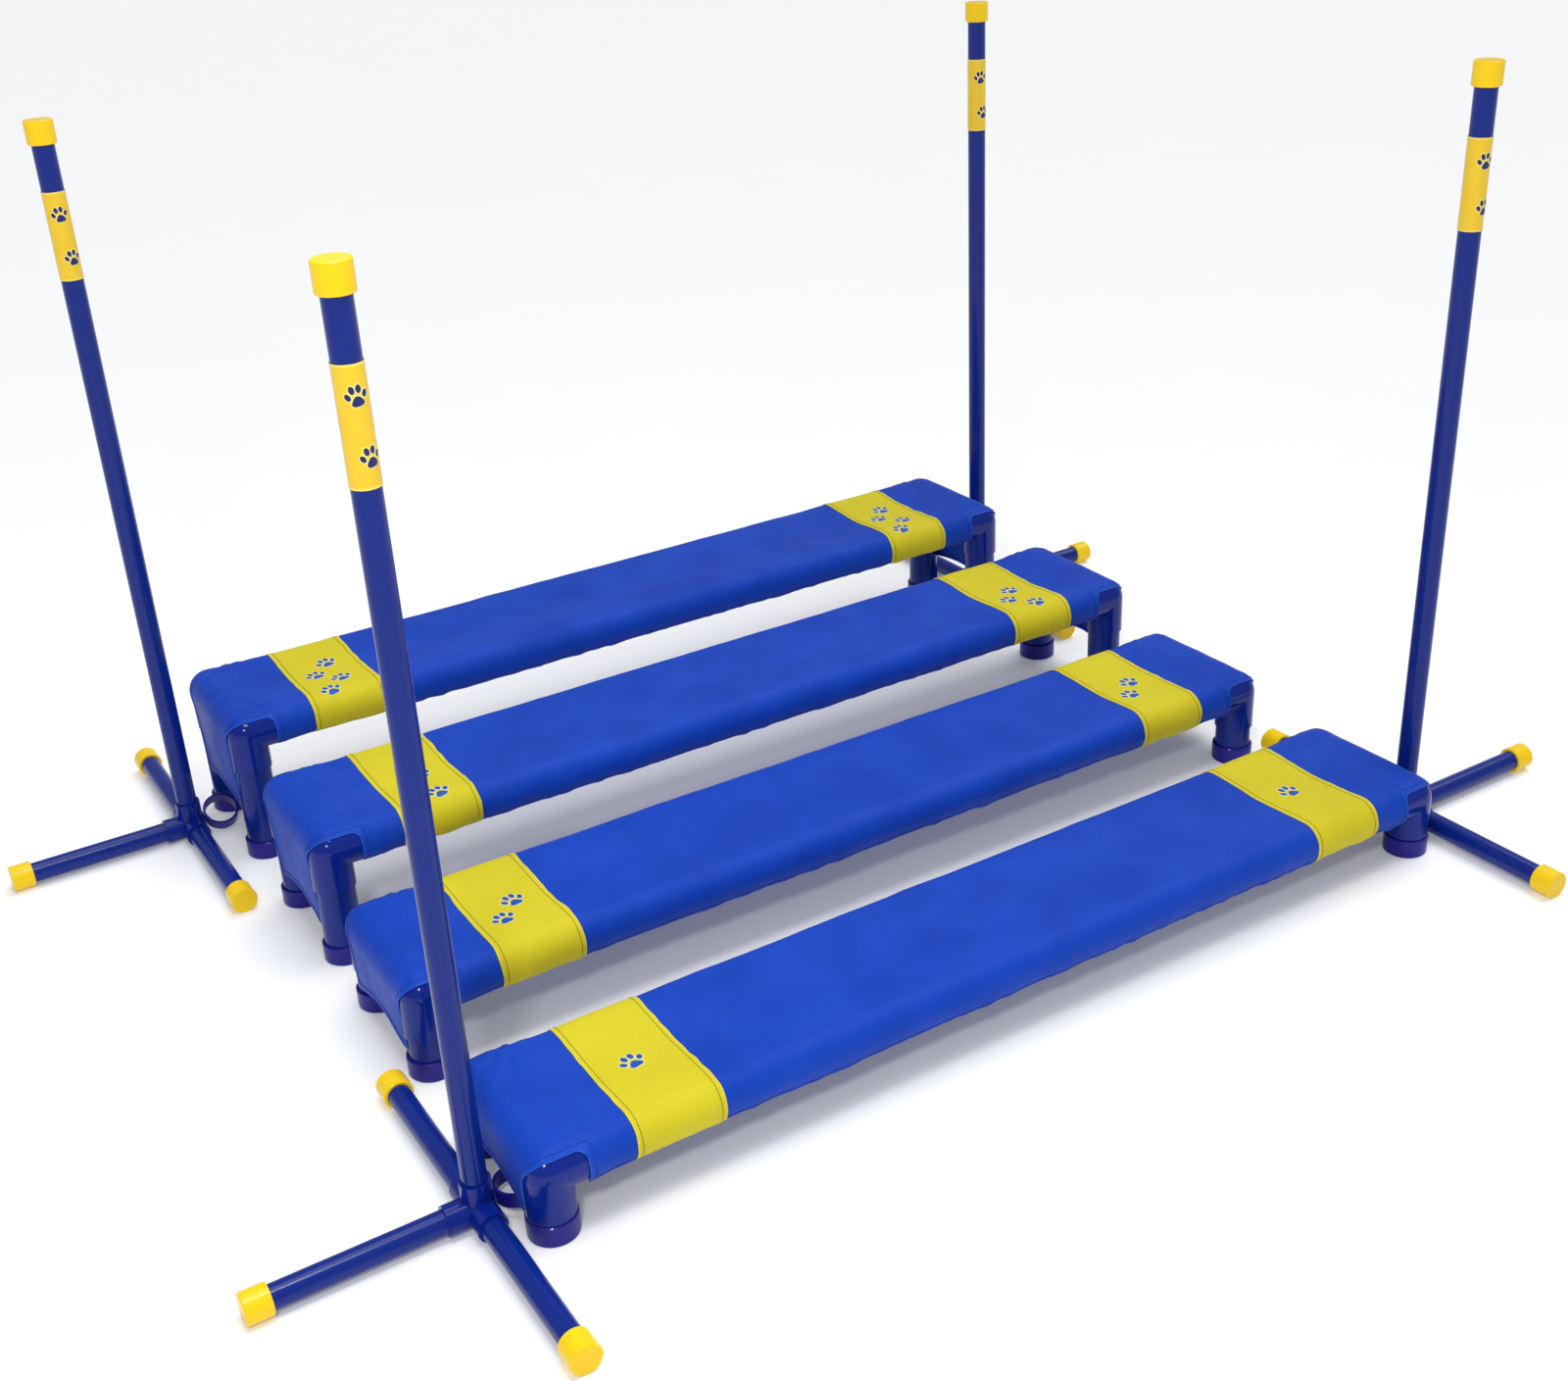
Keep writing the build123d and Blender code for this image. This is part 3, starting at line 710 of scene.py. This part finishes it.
def stitch_row(solid, place, line, lift):
    """A row of stitches along a line of pattern points."""
    lengths = [0.0]
    for a, b in zip(line, line[1:]):
        lengths.append(lengths[-1] + math.dist(a, b))

    def at(distance):
        for i in range(len(line) - 1):
            if distance <= lengths[i + 1] or i == len(line) - 2:
                t = (distance - lengths[i]) / max(lengths[i + 1] - lengths[i], 1e-9)
                return tuple(p + (q - p) * t for p, q in zip(line[i], line[i + 1]))
    count = int(lengths[-1] / STITCH_PITCH)
    for k in range(count):
        start = k * STITCH_PITCH + (STITCH_PITCH - STITCH_LENGTH) / 2
        rings = []
        centres = [place(*at(start + STITCH_LENGTH * t), lift + high)
                   for t, high in ((0.0, -0.0004), (0.22, 0.00012), (0.78, 0.00012), (1.0, -0.0004))]
        way = (centres[-1] - centres[0]).normalized()
        up = (place(*at(start), lift + 0.001) - place(*at(start), lift)).normalized()
        across = way.cross(up).normalized()
        for centre, scale in zip(centres, (0.6, 1.0, 1.0, 0.6)):
            rings.append([centre + (across * math.cos(t) + up * math.sin(t)) * THREAD_RADIUS * scale
                          for t in (math.tau * j / 5 for j in range(5))])
        solid.loft(rings)


def seam_thread(bench):
    solid = Solid()
    for line in hem_lines(bench):
        seam = [(e[0] + (t[0] - e[0]) * HEM_SEAM, e[1] + (t[1] - e[1]) * HEM_SEAM) for e, t in line]
        stitch_row(solid, bench.place, seam, 0.0006)
    return solid.made(f"unit_{bench.number}_hem_thread", NAVY_THREAD, bench.body, "cover_blue")


# Across a stripe, from its edge: distance in, and height above its body.
STRIPE_EDGE = ((0.0, -0.00095), (0.0004, -0.0001), (0.0012, 0.00030), (0.0022, 0.00022), (0.0038, 0.00002),
               (0.0058, 0.00005), (0.0070, -0.0001), (STRIPE_SEAM, -0.00042), (0.0082, -0.0001),
               (0.0100, 0.00005), (0.0160, 0.0), (0.0300, 0.0), (0.0470, 0.0))
STRIPE_RIM = 3                 # strips of that profile that are the turned edge, given a lighter cloth as a painted highlight where the fold catches the light


def stripe_edge_shift(bench, centre, side, y):
    """How far a stripe's edge wanders from straight."""
    drift = STRIPE_DRIFT * noise.noise((y * 9, side * 3 + centre, bench.seed))
    return SCALLOP * bench.gather(centre, side, y) + drift


def stripe_point(bench, centre, side, inset, y):
    x = centre + side * (STRIPE_WIDTH / 2 - inset)
    return x + side * stripe_edge_shift(bench, centre, side, y) * math.exp(-inset / 0.005), y


def stripe(bench, centre, end_name):
    """One yellow band, sewn over the cover and turned under at both sides."""
    sheet = Sheet(bench.place)
    reach = bench.run_low + 0.0006
    columns = [(1, d, h) for d, h in STRIPE_EDGE] + [(0, STRIPE_WIDTH / 2, 0.0)]
    columns = [(-s, d, h) for s, d, h in columns[:-1]] + [columns[-1]] + columns[:-1][::-1]
    rows = []
    for y in steps(bench.front - reach, bench.rear + reach, 0.0032):
        beyond = max(bench.front - y, y - bench.rear) - (bench.run_low - HEM_WIDTH - 0.002)
        over_hem = 0.0007 * smooth(beyond / 0.003)
        row = []
        for side, inset, height in columns:
            x, _ = stripe_point(bench, centre, side or 1, inset, y)
            row.append((x, y, STRIPE_LIFT + height + over_hem))
        rows.append(row)
    sheet.grid(rows)
    piece = new_object(f"unit_{bench.number}_stripe_{end_name}", sheet.points, sheet.turned_out(),
                       YELLOW_CLOTH, sheet.flat, bench.body)
    # The turned-edge strips take the lighter cloth, a painted highlight along the fold.
    piece.data.materials.append(RIM_HIGHLIGHT_CLOTH)
    across = len(columns) - 1
    for i, polygon in enumerate(piece.data.polygons):
        column = i % across
        polygon.material_index = int(column < STRIPE_RIM or column >= across - STRIPE_RIM)
    thicken(piece, STRIPE_THICK)
    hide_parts(f"unit_{bench.number}_stripes")
    return piece, sheet


def stripe_thread(bench):
    solid = Solid()
    reach = bench.run_low - 0.001
    for centre in bench.stripe_middles:
        for side in (-1, 1):
            line = [stripe_point(bench, centre, side, STRIPE_SEAM, y)
                    for y in steps(bench.front - reach, bench.rear + reach, 0.003)]
            stitch_row(solid, bench.place, line, STRIPE_LIFT - 0.00012)
    return solid.made(f"unit_{bench.number}_stripe_thread", OLIVE_THREAD, bench.body, "stripe_yellow")


# ---------------------------------------------------------------- paw prints
def blob(solid, place, outline, lift, thick):
    """A thin domed patch with a closed outline of pattern points."""
    cx = sum(x for x, _ in outline) / len(outline)
    cy = sum(y for _, y in outline) / len(outline)
    rings = []
    for share, height in ((0.02, -1.0), (1.0, -1.0), (1.0, 0.4), (0.9, 1.0), (0.55, 1.0), (0.02, 1.0)):
        rings.append([place(cx + (x - cx) * share, cy + (y - cy) * share, lift + height * thick)
                      for x, y in outline])
    solid.loft(rings)


def oval(x, y, rx, ry, tilt, grow=0.0, lobes=0.0, count=28):
    points = []
    for i in range(count):
        t = math.tau * i / count
        swell = 1 + lobes * math.cos(3 * (t - math.pi / 2))
        px, py = (rx * swell + grow) * math.cos(t), (ry * swell + grow) * math.sin(t)
        c, s = math.cos(tilt), math.sin(tilt)
        points.append((x + px * c - py * s, y + px * s + py * c))
    return points


def paw(ink, halo, place, x, y, size, turn, lift):
    """One print: four toes and a pad, each with a pale outline."""
    c, s = math.cos(turn), math.sin(turn)
    shapes = [(tx, ty, rx, ry, math.radians(tilt), 0.0) for tx, ty, rx, ry, tilt in TOES]
    shapes.append((*PAD, 0.0, PAD_LOBES))
    for tx, ty, rx, ry, tilt, lobes in shapes:
        px, py = tx * size, ty * size
        centre = (x + px * c - py * s, y + px * s + py * c)
        wide = oval(*centre, rx * size, ry * size, tilt + turn, PAW_OUTLINE, lobes)
        inner = oval(*centre, rx * size, ry * size, tilt + turn, 0.0, lobes)
        blob(halo, place, wide, lift, HALO)
        blob(ink, place, inner, lift + 0.0001, INK)


def stripe_prints(bench):
    """As many prints as the bench's number, in a walking line on each stripe."""
    ink, halo = Solid(), Solid()
    for centre in bench.stripe_middles:
        for k in range(bench.number):
            y = bench.front + PAW_FIRSTS[bench.number - 1] - k * PAW_STEP
            x = centre + (PAW_SWAY[k % 2] if bench.number > 1 else sum(PAW_SWAY) / 2)
            paw(ink, halo, bench.place, x, y, PAW_SIZE, PAW_TURN, STRIPE_LIFT + 0.0001)
    halo_piece = halo.made(f"unit_{bench.number}_print_outlines", PAW_CREAM, bench.body, "stripe_yellow")
    ink_piece = ink.made(f"unit_{bench.number}_prints", PAW_BLUE, bench.body, "cover_blue")
    return [halo_piece, ink_piece]


# ---------------------------------------------------------------- straps
STRAP_WIDTH = 0.025
STRAP_THICK = 0.0015
BUCKLE_FROM_REAR = 0.060
BUCKLE_BAR = 0.0021            # radius of a buckle's bars
BUCKLE_HALF = (0.0165, 0.0110)
STRAP_IN = 0.110               # in from the leg axis
STRAP_TOP = math.radians(-16)  # turns round a rail, from level, at which a strap starts and leaves it
STRAP_LEAVES = math.radians(62)
TAIL_STEP = 0.004


def strap_line(bench):
    """The strap's centreline from the front tab, under both rails, to the rear tab, as (y, z)."""
    out = bench.radius - RAIL_STEP - COVER_THICK - 0.0022
    under = bench.axis_z - bench.pipe - 0.0016
    line = []
    for turn in steps(STRAP_TOP, STRAP_LEAVES, math.radians(6)):
        line.append((bench.front - out * math.cos(turn), bench.axis_z - out * math.sin(turn)))
    for t in steps(0.0, 1.0, 0.04):
        dip = 0.0012 * math.sin(math.pi * t) + 0.0008 * noise.noise((t * 5, bench.seed, 3.0))
        line.append((bench.front + (bench.rear - bench.front) * t, under - dip))
    for turn in steps(STRAP_LEAVES, STRAP_TOP, math.radians(6)):
        line.append((bench.rear + out * math.cos(turn), bench.axis_z - out * math.sin(turn)))
    return line


def ribbon(solid, x, line, width, thick):
    """Flat webbing along a line of (y, z), with soft edges."""
    section = ((-0.5, 0.0), (-0.47, 0.42), (-0.2, 0.5), (0.2, 0.5), (0.47, 0.42), (0.5, 0.0), (0.47, -0.42),
               (0.2, -0.5), (-0.2, -0.5), (-0.47, -0.42))
    rings, flats, gone = [], [], 0.0
    for i, (y, z) in enumerate(line):
        before, after = line[max(i - 1, 0)], line[min(i + 1, len(line) - 1)]
        way = Vector((0, after[0] - before[0], after[1] - before[1])).normalized()
        normal = way.cross(Vector((1, 0, 0)))
        gone += math.dist(line[i], before) if i else 0.0
        rings.append([Vector((x + u * width, y, z)) + normal * v * thick for u, v in section])
        flats.append([(u * width, gone) for u, v in section])
    solid.loft(rings, flats)


def ring_bar(solid, centre, half_x, half_y, radius, corner=0.004, sides=10):
    """A rounded rectangular loop of bar, flat in x and y."""
    path = []
    for qx, qy, base in ((1, 1, 0), (-1, 1, 90), (-1, -1, 180), (1, -1, 270)):
        for k in range(5):
            t = math.radians(base + 90 * k / 4)
            path.append((Vector((centre.x + qx * (half_x - corner) + corner * math.cos(t),
                                 centre.y + qy * (half_y - corner) + corner * math.sin(t), centre.z)),
                         Vector((math.cos(t), math.sin(t), 0))))
    solid.loft([[point + (outward * math.cos(a) + UP * math.sin(a)) * radius
                 for a in (math.tau * j / sides for j in range(sides))]
                for point, outward in path], closed_path=True)


def bar(solid, start, end, radius, sides=10):
    """A round bar with softened ends."""
    way = (end - start).normalized()
    side = way.cross(UP).normalized()
    soft = way * radius * 0.3
    solid.loft([[p + (side * math.cos(a) + UP * math.sin(a)) * radius * s
                 for a in (math.tau * j / sides for j in range(sides))]
                for p, s in ((start, 0.9), (start + soft, 1.0), (end - soft, 1.0), (end, 0.9))])


def straps(bench):
    """Two webbing straps under the frame, each with a slide buckle and a loose tail."""
    webbing_parts, buckles = Solid(), Solid()
    strap_x = bench.half - STRAP_IN
    line = strap_line(bench)
    under = bench.axis_z - bench.pipe - 0.0022
    for side in (-1, 1):
        x = side * strap_x
        ribbon(webbing_parts, x, line, STRAP_WIDTH, STRAP_THICK)
        buckle_y = bench.rear - BUCKLE_FROM_REAR
        for shift in (-1, 1):
            bar(buckles, Vector((x - BUCKLE_HALF[0], buckle_y + shift * 0.0035, under - 0.0012)),
                Vector((x + BUCKLE_HALF[0], buckle_y + shift * 0.0035, under - 0.0012)), BUCKLE_BAR * 0.8)
        ring_bar(buckles, Vector((x, buckle_y, under - 0.0012)), *BUCKLE_HALF, BUCKLE_BAR)
        tail = [(buckle_y - 0.012 - TAIL_STEP * k, under - 0.0040 - 0.0006 * k - 0.0012 * math.sin(k * 0.7))
                for k in range(14)]
        ribbon(webbing_parts, x + 0.0006, tail, STRAP_WIDTH, STRAP_THICK)
    webs = webbing_parts.made(f"unit_{bench.number}_webbing", WEBBING, bench.body, "webbing_black")
    slides = buckles.made(f"unit_{bench.number}_buckles", BUCKLE, bench.body, "webbing_black")
    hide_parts(f"unit_{bench.number}_straps")
    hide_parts(f"unit_{bench.number}_straps")
    return [webs, slides]


def dress_bench(number):
    bench = Bench(number)
    pattern = cover_pattern(bench)
    cover = new_object(f"unit_{number}_cover_cloth", pattern.points, pattern.turned_out(), BLUE_CLOTH,
                       pattern.flat, bench.body)
    thicken(cover, COVER_THICK)
    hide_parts(f"unit_{number}_cover")
    pieces = [hems(bench), seam_thread(bench)]
    flat_size = (bench.rear - bench.front + 2 * bench.run_low, 2 * (bench.half + bench.hem_run(bench.side)))
    pattern.area()
    bands = [stripe(bench, centre, name) for centre, name in zip(bench.stripe_middles, ("left", "right"))]
    prints = stripe_prints(bench)
    sewing = stripe_thread(bench)
    straps(bench)


# ---------------------------------------------------------------- poles
def sleeve_axis(name):
    low, high = (Vector(c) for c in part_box(f"{name}_sleeve"))
    return (low + high) / 2, (high.x - low.x) / 2, low.z, high.z


def wrap_sleeve(name):
    """A film sleeve wrapped once round the pole, lapped at the back, with its prints at the front."""
    centre, outer, bottom, top = sleeve_axis(name)
    radius = outer - 0.0004
    height_all = top - bottom
    facing = -math.pi / 2 + SLEEVE_FACING[0 if centre.x < 0 else 1]

    def place(around, height, lift=0.0):
        """around is measured along the film from its middle."""
        turn = around / radius
        climb = 0.00035 * smooth((turn - math.pi + SLEEVE_LAP) / 0.08)
        flare = SLEEVE_FLARE * math.exp(-(height / FLARE_DEPTH))
        flare += SLEEVE_FLARE * math.exp(-((height_all - height) / FLARE_DEPTH))
        ripple = 0.00012 * noise.noise((around * 60, height * 40, centre.x))
        far = radius + climb + flare + ripple + lift
        way = facing + turn
        return Vector((centre.x + far * math.cos(way), centre.y + far * math.sin(way), bottom + height))

    sheet = Sheet(place)
    around = steps(-math.pi * radius, (math.pi + SLEEVE_LAP) * radius, 0.0016)
    heights = joined([0.0, RIM], steps(RIM, height_all - RIM, 0.004), [height_all - RIM, height_all])
    sheet.grid([[(a, h) for a in around] for h in heights])
    body = f"{name}_upright"
    wrap = new_object(f"{name}_sleeve_film", sheet.points, sheet.turned_out(), SLEEVE_FILM, sheet.flat,
                      body)
    thicken(wrap, FILM)
    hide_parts(f"{name}_sleeve")
    ink, halo = Solid(), Solid()
    for below, sway in zip(SLEEVE_PRINTS, (-0.003, 0.003)):
        paw(ink, halo, place, sway, height_all - below, SLEEVE_PAW_SIZE, 0.15, 0.0001)
    pale = halo.made(f"{name}_sleeve_outlines", PAW_PALE, body, "sleeve_yellow")
    dark = ink.made(f"{name}_sleeve_prints", PAW_NAVY, body, "pipe_navy")


SLEEVE_HEIGHT = sleeve_axis(POLES[0])[3] - sleeve_axis(POLES[0])[2]
SLEEVE_FILM = film("yellow_film", rgb(240, 198, 12), rgb(246, 222, 104), SLEEVE_HEIGHT)


# ---------------------------------------------------------------- materials on the CAD nodes
def paint(node, material):
    piece = bpy.data.objects[node]
    piece.data.materials.clear()
    piece.data.materials.append(material)


for number in UNITS:
    for part, material in (("corner_elbows", NAVY_FITTING), ("long_rails", NAVY), ("end_rails", NAVY),
                           ("legs", NAVY), ("feet", INDIGO)):
        paint(f"unit_{number}_{part}", material)
    dress_bench(number)
for name in POLES:
    for part, material in (("base_hub", NAVY_FITTING), ("base_arms", NAVY), ("arm_caps", YELLOW_CAP),
                           ("swivel_ring", INDIGO), ("upright", NAVY), ("top_cap", YELLOW_CAP)):
        paint(f"{name}_{part}", material)
    wrap_sleeve(name)


# ---------------------------------------------------------------- floor, light and camera
FLOOR_REACH = 70.0
LENS, SENSOR = 42.3, 36.0      # mm
CAMERA_PLACE = (-1.402, -2.3612, 1.614)
CAMERA_TURNS = (-30.749, 63.717, -3.013)    # degrees: round Z, then X, then the view's own axis
LIT_SPOT = (-0.4, -0.2, 0.1)


def add_floor():
    mesh = bpy.data.meshes.new("floor")
    corners = [(x * FLOOR_REACH, y * FLOOR_REACH, 0) for x, y in ((-1, -1), (1, -1), (1, 1), (-1, 1))]
    mesh.from_pydata(corners, [], [(0, 1, 2, 3)])
    mesh.materials.append(floor_paint("floor_paint"))
    piece = bpy.data.objects.new("floor", mesh)
    bpy.context.scene.collection.objects.link(piece)


def aimed(name, data, place, aim):
    lamp = bpy.data.objects.new(name, data)
    lamp.location = place
    lamp.rotation_euler = (Vector(aim) - Vector(place)).to_track_quat("-Z", "Y").to_euler()
    bpy.context.scene.collection.objects.link(lamp)


def area_light(name, place, aim, size, power):
    data = bpy.data.lights.new(name, "AREA")
    data.shape = "RECTANGLE"
    data.size, data.size_y = size
    data.energy = power
    aimed(name, data, place, aim)


def sky_light(name, place, strength, softness):
    """An even light from far off, towards the origin."""
    data = bpy.data.lights.new(name, "SUN")
    data.energy = strength
    data.angle = math.radians(softness)
    aimed(name, data, place, (0, 0, 0))


def add_world():
    world = bpy.data.worlds.new("studio")
    world.use_nodes = True
    background = world.node_tree.nodes["Background"]
    background.inputs["Color"].default_value = (0.95, 0.97, 1.0, 1)
    background.inputs["Strength"].default_value = 0.42
    bpy.context.scene.world = world


def add_camera():
    data = bpy.data.cameras.new("camera")
    data.lens, data.sensor_width = LENS, SENSOR
    data.clip_start, data.clip_end = 0.05, 250.0
    camera = bpy.data.objects.new("camera", data)
    camera.location = CAMERA_PLACE
    pan, tilt, roll = (math.radians(a) for a in CAMERA_TURNS)
    camera.rotation_euler = (Matrix.Rotation(pan, 3, "Z") @ Matrix.Rotation(tilt, 3, "X")
                             @ Matrix.Rotation(roll, 3, "Z")).to_euler()
    bpy.context.scene.collection.objects.link(camera)
    bpy.context.scene.camera = camera


add_floor()
add_world()
sky_light("key", (1.2, 0.3, 3.0), 1.60, 50)
area_light("ceiling", (-0.9, -1.0, 2.9), LIT_SPOT, (0.85, 0.45), 20)
area_light("window", (-1.75, -2.3, 2.3), LIT_SPOT, (0.34, 0.26), 24)
add_camera()
bpy.context.scene.view_settings.view_transform = "Standard"
